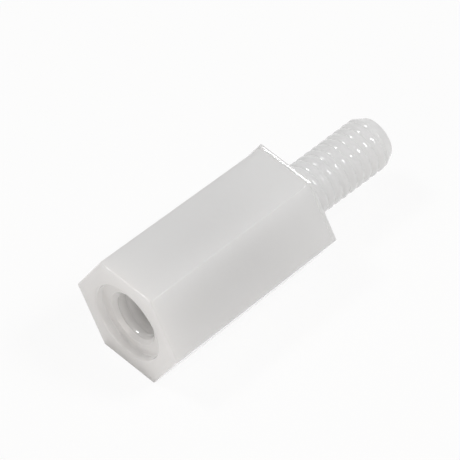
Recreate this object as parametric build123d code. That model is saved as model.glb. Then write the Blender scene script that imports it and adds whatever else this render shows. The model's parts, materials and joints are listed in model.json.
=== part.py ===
from build123d import *

import os

# Hex standoff, moulded in one piece from natural nylon: a hexagonal body with a threaded hole in one end
# and a threaded stud on the other.  Lengths are in millimetres.
# X is the standoff's axis, from the female end to the tip of the stud, with the origin in the plane of the
# shoulder that seats on a board.  The part lies on one flat of the hexagon, so Z is up.

# Body: the hexagon narrows from the female end to the shoulder by the draft that frees it from its mould.
across_flats = 6.0
body_length = 10.7
draft_angle = 0.6
edge_radius = 0.1

# Lip: the thin rim left round the shoulder where the two parts of the mould meet.  It is trimmed flush on
# one side of the hexagon, at an angle measured from +Y towards +Z.
lip_thickness = 0.16
lip_trim = 0.12
trimmed_side = 210

# Female end: a shallow round recess, then a lead-in to the M3 hole, whose wall is at the thread's crests.
recess_diameter = 4.26
recess_depth = 0.4
recess_rim_chamfer = 0.06
hole_diameter = 2.5
hole_depth = 7.2
lead_in_width = 0.25

# Stud: an M3 thread, drawn plain at its crests, with a long lead-in chamfer at the tip.
stud_diameter = 2.88
stud_length = 6.1
tip_chamfer_width = 0.3
tip_chamfer_length = 0.6


def across_axis(x):
    """The plane square to the axis at x, with Y across and Z up."""
    return Plane(origin=(x, 0, 0), x_dir=(0, 1, 0), z_dir=(1, 0, 0))


def hexagon():
    """The full hexagon, lying on a flat."""
    return RegularPolygon(across_flats / 2, side_count=6, major_radius=False)


def turned(*profile):
    """The round solid swept about the axis by (x, radius) points that start and end on the axis."""
    outline = Polyline([(x, 0, radius) for x, radius in profile], close=True)
    return revolve(make_face(outline), Axis.X)


def drafted_body():
    """The hexagon with its draft, its six long edges and its female rim rounded."""
    body = extrude(across_axis(-body_length) * hexagon(), amount=body_length, taper=draft_angle)
    female_rim, long_edges = body.edges().group_by(Axis.X)[:2]
    return fillet(female_rim + long_edges, edge_radius)


def shoulder_lip():
    """The rim round the shoulder, at the full width across flats but for its trimmed side."""
    trimmed_off = Rot(Z=trimmed_side) * Pos(X=across_flats / 2) * Rectangle(2 * lip_trim, across_flats)
    lip = extrude(across_axis(-lip_thickness) * (hexagon() - trimmed_off), amount=lip_thickness)
    return fillet(lip.edges().filter_by(Axis.X), edge_radius)


def threaded_stud():
    """The stud, from inside the body to its chamfered tip."""
    radius = stud_diameter / 2
    return turned(
        (-lip_thickness, 0),
        (-lip_thickness, radius),
        (stud_length - tip_chamfer_length, radius),
        (stud_length, radius - tip_chamfer_width),
        (stud_length, 0),
    )


def female_core():
    """The pin that shapes the female end: recess, lead-in and blind hole."""
    mouth = -body_length
    recess_floor = mouth + recess_depth
    hole_end = mouth + hole_depth
    recess_radius = recess_diameter / 2
    hole_radius = hole_diameter / 2
    return turned(
        (mouth, 0),
        (mouth, recess_radius + recess_rim_chamfer),
        (mouth + recess_rim_chamfer, recess_radius),
        (recess_floor, recess_radius),
        (recess_floor, hole_radius + lead_in_width),
        (recess_floor + lead_in_width, hole_radius),
        (hole_end, hole_radius),
        (hole_end, 0),
    )


standoff = drafted_body() + shoulder_lip() + threaded_stud() - female_core()

os.makedirs("parts", exist_ok=True)
export_step(standoff, "parts/hex_standoff.step")
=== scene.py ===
import json
import math

import bmesh
import bpy
from mathutils import Matrix, Vector


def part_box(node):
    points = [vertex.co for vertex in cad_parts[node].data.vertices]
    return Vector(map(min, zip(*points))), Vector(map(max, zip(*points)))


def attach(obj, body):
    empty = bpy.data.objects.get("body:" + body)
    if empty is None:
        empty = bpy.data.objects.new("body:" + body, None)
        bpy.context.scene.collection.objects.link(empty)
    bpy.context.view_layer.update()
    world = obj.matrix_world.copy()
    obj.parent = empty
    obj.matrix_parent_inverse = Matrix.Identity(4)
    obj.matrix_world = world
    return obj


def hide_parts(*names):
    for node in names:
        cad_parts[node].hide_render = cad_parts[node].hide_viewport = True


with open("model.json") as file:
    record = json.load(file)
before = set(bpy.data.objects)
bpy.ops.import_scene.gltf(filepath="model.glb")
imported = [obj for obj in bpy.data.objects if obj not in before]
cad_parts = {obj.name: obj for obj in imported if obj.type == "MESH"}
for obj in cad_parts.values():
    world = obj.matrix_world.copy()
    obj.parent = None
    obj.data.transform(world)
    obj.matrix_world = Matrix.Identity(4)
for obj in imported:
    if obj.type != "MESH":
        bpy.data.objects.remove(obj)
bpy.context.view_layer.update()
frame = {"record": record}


# Natural nylon: unpigmented polyamide as it leaves the mould, milky and translucent, with a glossy skin.
# Light goes in, is scattered all through the moulding and comes out of every face, so it has little shade.
# The light may turn many times on its way, as without that the hole would be too dark.

nylon_colour = (0.8, 0.8, 0.8)
nylon_cloud_colour = (0.78, 0.778, 0.773)
nylon_cloud_size = 0.004
nylon_cloud_detail = 3
nylon_scatter_depth = (0.004, 0.004, 0.004)
nylon_light_turns = 64
nylon_refraction = 1.53
nylon_gloss_from = 0.06
nylon_gloss_to = 0.10
nylon_ripple_size = 0.0007
nylon_ripple_detail = 4
nylon_ripple_height = 0.00001


def new_node(tree, kind, **values):
    """Adds a node and sets its properties, or its inputs by socket name."""
    node = tree.nodes.new(kind)
    for name, value in values.items():
        if name in node.bl_rna.properties:
            setattr(node, name, value)
        else:
            node.inputs[name.replace("_", " ").title()].default_value = value
    return node


def cloud(tree, place, size, detail):
    """A noise on Object coordinates whose lumps are about the given size."""
    noise = new_node(tree, "ShaderNodeTexNoise", detail=detail)
    noise.inputs["Scale"].default_value = 1 / size
    tree.links.new(place.outputs["Object"], noise.inputs["Vector"])
    return noise


def natural_nylon():
    """The milky material of the whole moulding, with a skin that is glossy and a little uneven."""
    material = bpy.data.materials.new("natural_nylon")
    material.use_nodes = True
    tree = material.node_tree
    shader = tree.nodes["Principled BSDF"]
    place = new_node(tree, "ShaderNodeTexCoord")

    # The mix node has its two colours at inputs 6 and 7 and the mixed one at output 2.
    haze = cloud(tree, place, nylon_cloud_size, nylon_cloud_detail)
    colour = new_node(tree, "ShaderNodeMix", data_type="RGBA")
    colour.inputs[6].default_value = (*nylon_colour, 1)
    colour.inputs[7].default_value = (*nylon_cloud_colour, 1)
    tree.links.new(haze.outputs["Fac"], colour.inputs[0])
    tree.links.new(colour.outputs[2], shader.inputs["Base Color"])

    unevenness = cloud(tree, place, nylon_ripple_size, nylon_ripple_detail)
    gloss = new_node(tree, "ShaderNodeMapRange")
    gloss.inputs["To Min"].default_value = nylon_gloss_from
    gloss.inputs["To Max"].default_value = nylon_gloss_to
    tree.links.new(unevenness.outputs["Fac"], gloss.inputs["Value"])
    tree.links.new(gloss.outputs["Result"], shader.inputs["Roughness"])

    ripple = new_node(tree, "ShaderNodeBump")
    ripple.inputs["Strength"].default_value = 1
    ripple.inputs["Distance"].default_value = nylon_ripple_height
    tree.links.new(unevenness.outputs["Fac"], ripple.inputs["Height"])
    tree.links.new(ripple.outputs["Normal"], shader.inputs["Normal"])

    shader.inputs["IOR"].default_value = nylon_refraction
    shader.inputs["Subsurface Weight"].default_value = 1
    shader.inputs["Subsurface Radius"].default_value = nylon_scatter_depth
    shader.inputs["Subsurface Scale"].default_value = 1
    return material


nylon = natural_nylon()
bpy.context.scene.cycles.max_bounces = nylon_light_turns
bpy.context.scene.cycles.diffuse_bounces = nylon_light_turns


# Threads: M3 at 0.5 mm pitch, one in the wall of the hole and one on the stud, both right-hand.
# They are moulded with the rest, so they are shallow and their grooves run out at each end.
# The hole's grooves have soft roots and the stud's have sharp ones.

thread_pitch = 0.0005
turn_points = 96
rows_per_turn = 24
merge_distance = thread_pitch / 500
sharp_root_bend = 2
soft_root_bend = 1.5


def moulded_thread_tree():
    """The node tree of a threaded wall: a grid wound on the helix, so that its rows run along the crests."""
    tree = bpy.data.node_groups.new("moulded_thread", "GeometryNodeTree")
    sockets = tree.interface
    for name in ("Start", "Length", "Pitch", "Crest Radius", "Root Radius", "Run In", "Run Out"):
        sockets.new_socket(name, in_out="INPUT", socket_type="NodeSocketFloat")
    for name in ("Mouth Radius", "Mouth Slope", "Tip Radius", "Tip Slope", "Phase", "Softness"):
        sockets.new_socket(name, in_out="INPUT", socket_type="NodeSocketFloat")
    for name in ("Turn Points", "Rows per Turn"):
        sockets.new_socket(name, in_out="INPUT", socket_type="NodeSocketInt")
    sockets.new_socket("Material", in_out="INPUT", socket_type="NodeSocketMaterial")
    sockets.new_socket("Geometry", in_out="OUTPUT", socket_type="NodeSocketGeometry")
    given = tree.nodes.new("NodeGroupInput").outputs
    result = tree.nodes.new("NodeGroupOutput")

    def feed(socket, term):
        if isinstance(term, (int, float)):
            socket.default_value = term
        else:
            tree.links.new(term, socket)

    def math_node(operation, *terms):
        node = new_node(tree, "ShaderNodeMath", operation=operation)
        for socket, term in zip(node.inputs, terms):
            feed(socket, term)
        return node.outputs[0]

    def smooth_ramp(value, low, high):
        node = new_node(tree, "ShaderNodeMapRange", interpolation_type="SMOOTHSTEP")
        feed(node.inputs["Value"], value)
        feed(node.inputs["From Min"], low)
        feed(node.inputs["From Max"], high)
        return node.outputs["Result"]

    # A grid of whole turns, with one turn to spare, whose second axis goes once round the wall.
    turns = math_node("CEIL", math_node("ADD", math_node("DIVIDE", given["Length"], given["Pitch"]), 1))
    spans = math_node("MULTIPLY", turns, given["Rows per Turn"])
    grid = new_node(tree, "GeometryNodeMeshGrid")
    tree.links.new(math_node("ADD", spans, 1), grid.inputs["Vertices X"])
    tree.links.new(math_node("ADD", given["Turn Points"], 1), grid.inputs["Vertices Y"])
    place = new_node(tree, "ShaderNodeSeparateXYZ")
    tree.links.new(new_node(tree, "GeometryNodeInputPosition").outputs[0], place.inputs[0])
    row = math_node("MULTIPLY", math_node("ADD", place.outputs["X"], 0.5), turns)
    around = math_node("ADD", place.outputs["Y"], 0.5)

    # Each row climbs one pitch in a turn, and is held between the two ends of the wall.
    climb = math_node("SUBTRACT", math_node("ADD", row, around), 1)
    end = math_node("ADD", given["Start"], given["Length"])
    along = math_node("ADD", given["Start"], math_node("MULTIPLY", climb, given["Pitch"]))
    along = math_node("MINIMUM", math_node("MAXIMUM", along, given["Start"]), end)

    # The profile goes from root to crest by how far the point is from the middle of its groove.
    depth_in = math_node("SUBTRACT", along, given["Start"])
    depth_left = math_node("SUBTRACT", end, along)
    turn = math_node("SUBTRACT", math_node("DIVIDE", depth_in, given["Pitch"]), around)
    part_turn = math_node("FRACT", math_node("ADD", turn, given["Phase"]))
    from_groove = math_node("MULTIPLY", math_node("ABSOLUTE", math_node("SUBTRACT", part_turn, 0.5)), 2)
    softening = math_node("SUBTRACT", smooth_ramp(from_groove, 0, 1), from_groove)
    share = math_node("ADD", from_groove, math_node("MULTIPLY", given["Softness"], softening))
    bend_change = math_node("MULTIPLY", given["Softness"], soft_root_bend - sharp_root_bend)
    bend = math_node("ADD", sharp_root_bend, bend_change)
    groove = math_node("POWER", math_node("SUBTRACT", 1, share), bend)
    fade_in = smooth_ramp(depth_in, 0, given["Run In"])
    fade_out = smooth_ramp(depth_left, 0, given["Run Out"])
    fade = math_node("MULTIPLY", fade_in, fade_out)
    depth = math_node("MULTIPLY", math_node("MULTIPLY", groove, fade),
                      math_node("SUBTRACT", given["Root Radius"], given["Crest Radius"]))

    # A hole's mouth widens to a cone, and a stud's tip narrows to one.
    narrowing = math_node("MULTIPLY", depth_in, given["Mouth Slope"])
    mouth = math_node("SUBTRACT", given["Mouth Radius"], narrowing)
    tip = math_node("ADD", given["Tip Radius"], math_node("MULTIPLY", depth_left, given["Tip Slope"]))
    threaded = math_node("ADD", given["Crest Radius"], depth)
    radius = math_node("MINIMUM", math_node("MAXIMUM", threaded, mouth), tip)

    angle = math_node("MULTIPLY", around, 2 * math.pi)
    point = new_node(tree, "ShaderNodeCombineXYZ")
    tree.links.new(along, point.inputs["X"])
    tree.links.new(math_node("MULTIPLY", radius, math_node("COSINE", angle)), point.inputs["Y"])
    tree.links.new(math_node("MULTIPLY", radius, math_node("SINE", angle)), point.inputs["Z"])

    steps = (
        new_node(tree, "GeometryNodeSetPosition"),
        new_node(tree, "GeometryNodeMergeByDistance", Distance=merge_distance),
        new_node(tree, "GeometryNodeRealizeInstances"),
        new_node(tree, "GeometryNodeSetMaterial"),
    )
    tree.links.new(point.outputs[0], steps[0].inputs["Position"])
    tree.links.new(given["Material"], steps[-1].inputs["Material"])
    shape = grid.outputs["Mesh"]
    for step in steps:
        tree.links.new(shape, step.inputs["Geometry"])
        shape = step.outputs["Geometry"]
    tree.links.new(shape, result.inputs["Geometry"])
    return tree


thread_tree = moulded_thread_tree()


def threaded_wall(name, **sizes):
    """The mesh of one threaded wall, open at both ends."""
    carrier = bpy.data.objects.new(name, bpy.data.meshes.new(name))
    bpy.context.scene.collection.objects.link(carrier)
    modifier = carrier.modifiers.new("thread", "NODES")
    modifier.node_group = thread_tree
    sizes.update(Pitch=thread_pitch, Turn_Points=turn_points, Rows_per_Turn=rows_per_turn, Material=nylon)
    for socket in thread_tree.interface.items_tree:
        if socket.in_out == "INPUT":
            modifier[socket.identifier] = sizes[socket.name.replace(" ", "_")]
    graph = bpy.context.evaluated_depsgraph_get()
    mesh = bpy.data.meshes.new_from_object(carrier.evaluated_get(graph))
    bpy.data.objects.remove(carrier)
    return mesh


# The moulding: a drafted hexagon of nylon with a recess and a threaded hole in its female end, a thin lip of
# flash round the shoulder and a threaded stud, all made in one shot.
# It is one closed skin: rings of points make its plain faces, and they join the two threaded walls.

lowest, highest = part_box("hex_standoff")
mounts = {mount["name"]: mount for mount in frame["record"]["mounts"]}
female_face = lowest.x
stud_tip = highest.x
half_width = highest.z

draft_angle = 0.6
draft_slope = math.tan(math.radians(draft_angle))
corner_radius = 0.000022
rim_radius = 0.0001
lip_thickness = 0.00016
lip_bevel_length = 0.00007
lip_bevel_share = 0.3
lip_bevel_steps = (0, 0.1, 0.9, 1)
lip_edge = 0.00002
trimmed_side = 3
side_rings = 14

recess_radius = 0.00213
recess_depth = 0.0004
recess_rim = 0.0001
recess_corner = 0.00006
bend_steps = 5
recess_floor = female_face + recess_depth

hole_radius = mounts["female_thread"]["dims"]["r_mm"] / 1000
hole_groove_depth = 0.000066
hole_phase = 0.826
hole_run_in = thread_pitch / 2
hole_run_out = thread_pitch
hole_mouth = mounts["female_thread"]["pos_m"][0]
hole_length = mounts["female_thread"]["dims"]["length_mm"] / 1000
hole_end = hole_mouth + hole_length
lead_in_slope = 1.0
lead_in_radius = hole_radius + (hole_mouth - recess_floor) * lead_in_slope

stud_radius = mounts["stud_thread"]["dims"]["r_mm"] / 1000
stud_groove_depth = 0.000075
stud_phase = 1 / rows_per_turn
stud_neck = 0.00055
stud_run_out = thread_pitch / 5
tip_chamfer_length = stud_tip - mounts["stud_thread"]["dims"]["length_mm"] / 1000
tip_chamfer_width = 0.0003
tip_radius = stud_radius - tip_chamfer_width

corner_steps = 6
flat_steps = turn_points // 6 - corner_steps
end_shares = (1, 0.75, 0.5, 0.25)
sharp_angle = 40


def round_outline(radius):
    """One ring of points at a radius, as (y, z), starting at +Y."""
    turns = [2 * math.pi * step / turn_points for step in range(turn_points)]
    return [(radius * math.cos(turn), radius * math.sin(turn)) for turn in turns]


def hexagon_outline(halves, radius):
    """One ring of points on a hexagon, given its six sides' distances from the axis and its corners' radius.

    It starts at the middle of the corner at +Y, and its first side is the one after that corner.
    """
    middles = [math.pi / 3 * (side + 0.5) for side in range(6)]
    normals = [Vector((math.cos(turn), math.sin(turn))) for turn in middles]
    points = []
    for corner in range(6):
        before, after = normals[corner - 1], normals[corner]
        reach_before, reach_after = halves[corner - 1] - radius, halves[corner] - radius
        middle = Vector((reach_before * after.y - reach_after * before.y,
                         reach_after * before.x - reach_before * after.x)) / before.cross(after)
        for step in range(corner_steps + 1):
            turn = math.pi / 3 * (corner + step / corner_steps - 0.5)
            points.append(middle + radius * Vector((math.cos(turn), math.sin(turn))))
    ring = []
    for corner in range(6):
        start = corner * (corner_steps + 1)
        ring += points[start:start + corner_steps + 1]
        here, there = points[start + corner_steps], points[(start + corner_steps + 1) % len(points)]
        ring += [here.lerp(there, step / flat_steps) for step in range(1, flat_steps)]
    first = corner_steps // 2
    return ring[first:] + ring[:first]


def body_sides(x, inset=0):
    """How far the body's six sides are from the axis at x, with their draft."""
    return [half_width - (x - female_face) * draft_slope - inset] * 6


def lip_sides(x, share, inset=0):
    """The same where the lip stands out by a share of its height, on all but its trimmed side."""
    body = body_sides(x, inset)
    sides = [side + share * (half_width - inset - side) for side in body]
    sides[trimmed_side] = body[trimmed_side]
    return sides


def add_rings(mesh, rings):
    """Adds the faces between rings, each an (x, outline) pair."""
    last = None
    for x, outline in rings:
        ring = [mesh.verts.new((x, y, z)) for y, z in outline]
        if last:
            for here in range(turn_points):
                there = (here + 1) % turn_points
                mesh.faces.new((last[here], last[there], ring[there], ring[here]))
        last = ring
    return last


def closed_end(mesh, x, radius):
    """A flat round end, as rings that shrink to one point at its middle."""
    ring = add_rings(mesh, [(x, round_outline(radius * share)) for share in end_shares])
    middle = mesh.verts.new((x, 0, 0))
    for here in range(turn_points):
        mesh.faces.new((ring[here], ring[(here + 1) % turn_points], middle))


def quarter_turns():
    """The angles of the rings in a rounded edge or corner."""
    return [step / bend_steps * math.pi / 2 for step in range(bend_steps + 1)]


def female_end_rings():
    """From the mouth of the thread out to the rim of the recess."""
    rings = [(recess_floor, round_outline(lead_in_radius))]
    for turn in quarter_turns():
        x = recess_floor - recess_corner * (1 - math.cos(turn))
        rings.append((x, round_outline(recess_radius - recess_corner * (1 - math.sin(turn)))))
    for turn in quarter_turns():
        x = female_face + recess_rim * (1 - math.sin(turn))
        rings.append((x, round_outline(recess_radius + recess_rim * (1 - math.cos(turn)))))
    return rings


def body_rings():
    """The rounded female rim, the drafted sides and the lip at the shoulder."""
    rings = []
    for turn in quarter_turns():
        x = female_face + rim_radius * (1 - math.sin(turn))
        inset = rim_radius * (1 - math.cos(turn))
        rings.append((x, hexagon_outline(body_sides(x, inset), corner_radius)))
    rings.reverse()
    start = female_face + rim_radius
    finish = -lip_thickness
    for step in range(1, side_rings + 1):
        x = start + (finish - start) * step / side_rings
        rings.append((x, hexagon_outline(body_sides(x), corner_radius)))
    for step in lip_bevel_steps:
        x = finish + lip_edge + lip_bevel_length * step
        share = 1 - lip_bevel_share * (1 - step)
        rings.append((x, hexagon_outline(lip_sides(x, share), corner_radius)))
    rings.append((-lip_edge, hexagon_outline(lip_sides(-lip_edge, 1), corner_radius)))
    rings.append((0, hexagon_outline(lip_sides(0, 1, lip_edge), corner_radius)))
    return rings


def moulding():
    """The whole standoff as one closed mesh."""
    # The hole has no narrowed tip, so its tip radius is far too large to matter.
    # The stud has no widened mouth, so its mouth radius is zero.
    hole = threaded_wall("hole_thread", Start=recess_floor, Length=hole_end - recess_floor,
                         Phase=hole_phase, Softness=1.0,
                         Crest_Radius=hole_radius, Root_Radius=hole_radius + hole_groove_depth,
                         Run_In=hole_run_in, Run_Out=hole_run_out,
                         Mouth_Radius=lead_in_radius, Mouth_Slope=lead_in_slope,
                         Tip_Radius=1.0, Tip_Slope=0.0)
    stud = threaded_wall("stud_thread", Start=0.0, Length=stud_tip,
                         Phase=stud_phase, Softness=0.0,
                         Crest_Radius=stud_radius, Root_Radius=stud_radius - stud_groove_depth,
                         Run_In=stud_neck, Run_Out=stud_run_out,
                         Mouth_Radius=0.0, Mouth_Slope=0.0,
                         Tip_Radius=tip_radius, Tip_Slope=tip_chamfer_width / tip_chamfer_length)
    mesh = bmesh.new()
    for wall in (hole, stud):
        mesh.from_mesh(wall)
        bpy.data.meshes.remove(wall)
    closed_end(mesh, hole_end, hole_radius)
    add_rings(mesh, female_end_rings() + body_rings() + [(0, round_outline(stud_radius))])
    closed_end(mesh, stud_tip, tip_radius)
    bmesh.ops.remove_doubles(mesh, verts=mesh.verts, dist=merge_distance)
    bmesh.ops.dissolve_degenerate(mesh, edges=mesh.edges, dist=merge_distance / 2)
    bmesh.ops.recalc_face_normals(mesh, faces=mesh.faces)
    data = bpy.data.meshes.new("nylon_standoff")
    mesh.to_mesh(data)
    mesh.free()
    data.materials.append(nylon)
    data.polygons.foreach_set("use_smooth", [True] * len(data.polygons))
    data.set_sharp_from_angle(angle=math.radians(sharp_angle))
    piece = bpy.data.objects.new("nylon_standoff", data)
    bpy.context.scene.collection.objects.link(piece)
    return piece


standoff = moulding()
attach(standoff, "root")
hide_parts("hex_standoff")


# The table: a plain pale sheet that the standoff lies on.
# It shows almost white, and keeps a faint part of the standoff's soft shadow.

table_size = 4.0
table_colour = (0.95, 0.94, 0.93)
table_white_share = 0.9


def seen_white(tree):
    """A factor that is 1 for rays that show the background: the camera's, and those in a gloss or glass."""
    ray = new_node(tree, "ShaderNodeLightPath")
    seen = ray.outputs["Is Camera Ray"]
    for name in ("Is Glossy Ray", "Is Transmission Ray"):
        either = new_node(tree, "ShaderNodeMath", operation="MAXIMUM")
        tree.links.new(seen, either.inputs[0])
        tree.links.new(ray.outputs[name], either.inputs[1])
        seen = either.outputs[0]
    return seen


def pale_table():
    """A pale sheet that shows almost white, with a faint part of the shadow that falls on it."""
    bpy.ops.mesh.primitive_plane_add(size=table_size, location=(0, 0, lowest.z))
    table = bpy.context.object
    table.name = "table"
    material = bpy.data.materials.new("pale_table")
    material.use_nodes = True
    tree = material.node_tree
    tree.nodes.clear()
    paper = new_node(tree, "ShaderNodeBsdfDiffuse", Color=(*table_colour, 1))
    glow = new_node(tree, "ShaderNodeEmission", Strength=1)
    share = new_node(tree, "ShaderNodeMath", operation="MULTIPLY")
    share.inputs[1].default_value = table_white_share
    mixed = new_node(tree, "ShaderNodeMixShader")
    output = new_node(tree, "ShaderNodeOutputMaterial")
    tree.links.new(seen_white(tree), share.inputs[0])
    tree.links.new(share.outputs[0], mixed.inputs[0])
    tree.links.new(paper.outputs[0], mixed.inputs[1])
    tree.links.new(glow.outputs[0], mixed.inputs[2])
    tree.links.new(mixed.outputs[0], output.inputs["Surface"])
    table.data.materials.append(material)


pale_table()


# Studio light: an even white tent all round, and a wide, slightly warm lamp that faces the female end.
# Two small lamps high up on either side make the glints on the threads and edges.

tent_strength = 0.28
lamp_distance = 0.25
front_lamp_size = 0.16
front_lamp_azimuth = -82
front_lamp_elevation = 14
front_lamp_power = 0.154
front_lamp_colour = (1, 0.9, 0.82)
right_lamp_size = 0.07
right_lamp_azimuth = 41
right_lamp_elevation = 51
right_lamp_power = 0.215
left_lamp_size = 0.05
left_lamp_azimuth = -147
left_lamp_elevation = 60
left_lamp_power = 0.145


def tent():
    """A white world, seen as plain white behind the table."""
    world = bpy.data.worlds.new("tent")
    bpy.context.scene.world = world
    world.use_nodes = True
    tree = world.node_tree
    back = tree.nodes["Background"]
    back.inputs["Color"].default_value = (1, 1, 1, 1)
    strength = new_node(tree, "ShaderNodeMapRange")
    strength.inputs["To Min"].default_value = tent_strength
    strength.inputs["To Max"].default_value = 1
    tree.links.new(seen_white(tree), strength.inputs["Value"])
    tree.links.new(strength.outputs["Result"], back.inputs["Strength"])


def direction(azimuth, elevation):
    """The way from the standoff to a lamp or the camera, along -Y where both angles are zero."""
    turn = math.radians(azimuth)
    rise = math.radians(elevation)
    return Vector((math.sin(turn) * math.cos(rise), -math.cos(turn) * math.cos(rise), math.sin(rise)))


def lamp(name, azimuth, elevation, size, power, colour=(1, 1, 1)):
    """A square soft lamp that points at the middle of the standoff."""
    light = bpy.data.lights.new(name, "AREA")
    light.size = size
    light.energy = power
    light.color = colour
    holder = bpy.data.objects.new(name, light)
    bpy.context.scene.collection.objects.link(holder)
    middle = (lowest + highest) / 2
    way = direction(azimuth, elevation)
    facing = way.to_track_quat("Z", "Y").to_matrix().to_4x4()
    holder.matrix_world = Matrix.Translation(middle + way * lamp_distance) @ facing


tent()
lamp("front_lamp", front_lamp_azimuth, front_lamp_elevation, front_lamp_size, front_lamp_power,
     front_lamp_colour)
lamp("right_lamp", right_lamp_azimuth, right_lamp_elevation, right_lamp_size, right_lamp_power)
lamp("left_lamp", left_lamp_azimuth, left_lamp_elevation, left_lamp_size, left_lamp_power)


# The camera looks down on the standoff from the side of its female end, through a long lens.
# Its picture of the standoff has the photograph's size and place.

camera_azimuth = -42.95
camera_elevation = 48.9
camera_roll = -1.6
camera_distance = 0.2311
camera_nearest = 0.01
sensor_width = 36
picture_pixels = 460
pixels_per_metre = 20800
aim_along = 0.006
aim_right_pixels = -12.6
aim_up_pixels = -25.8


def camera():
    """A camera at the photograph's viewing angle, aimed at a point along the standoff's axis."""
    lens = bpy.data.cameras.new("camera")
    lens.sensor_width = sensor_width
    lens.lens = sensor_width * pixels_per_metre * camera_distance / picture_pixels
    lens.clip_start = camera_nearest
    holder = bpy.data.objects.new("camera", lens)
    bpy.context.scene.collection.objects.link(holder)
    back = direction(camera_azimuth, camera_elevation)
    facing = back.to_track_quat("Z", "Y").to_matrix() @ Matrix.Rotation(math.radians(camera_roll), 3, "Z")
    aim = Vector((female_face + aim_along, 0, 0))
    aim -= facing.col[0] * aim_right_pixels / pixels_per_metre
    aim -= facing.col[1] * aim_up_pixels / pixels_per_metre
    holder.matrix_world = Matrix.Translation(aim + back * camera_distance) @ facing.to_4x4()
    bpy.context.scene.camera = holder


camera()
bpy.context.scene.view_settings.view_transform = "Standard"
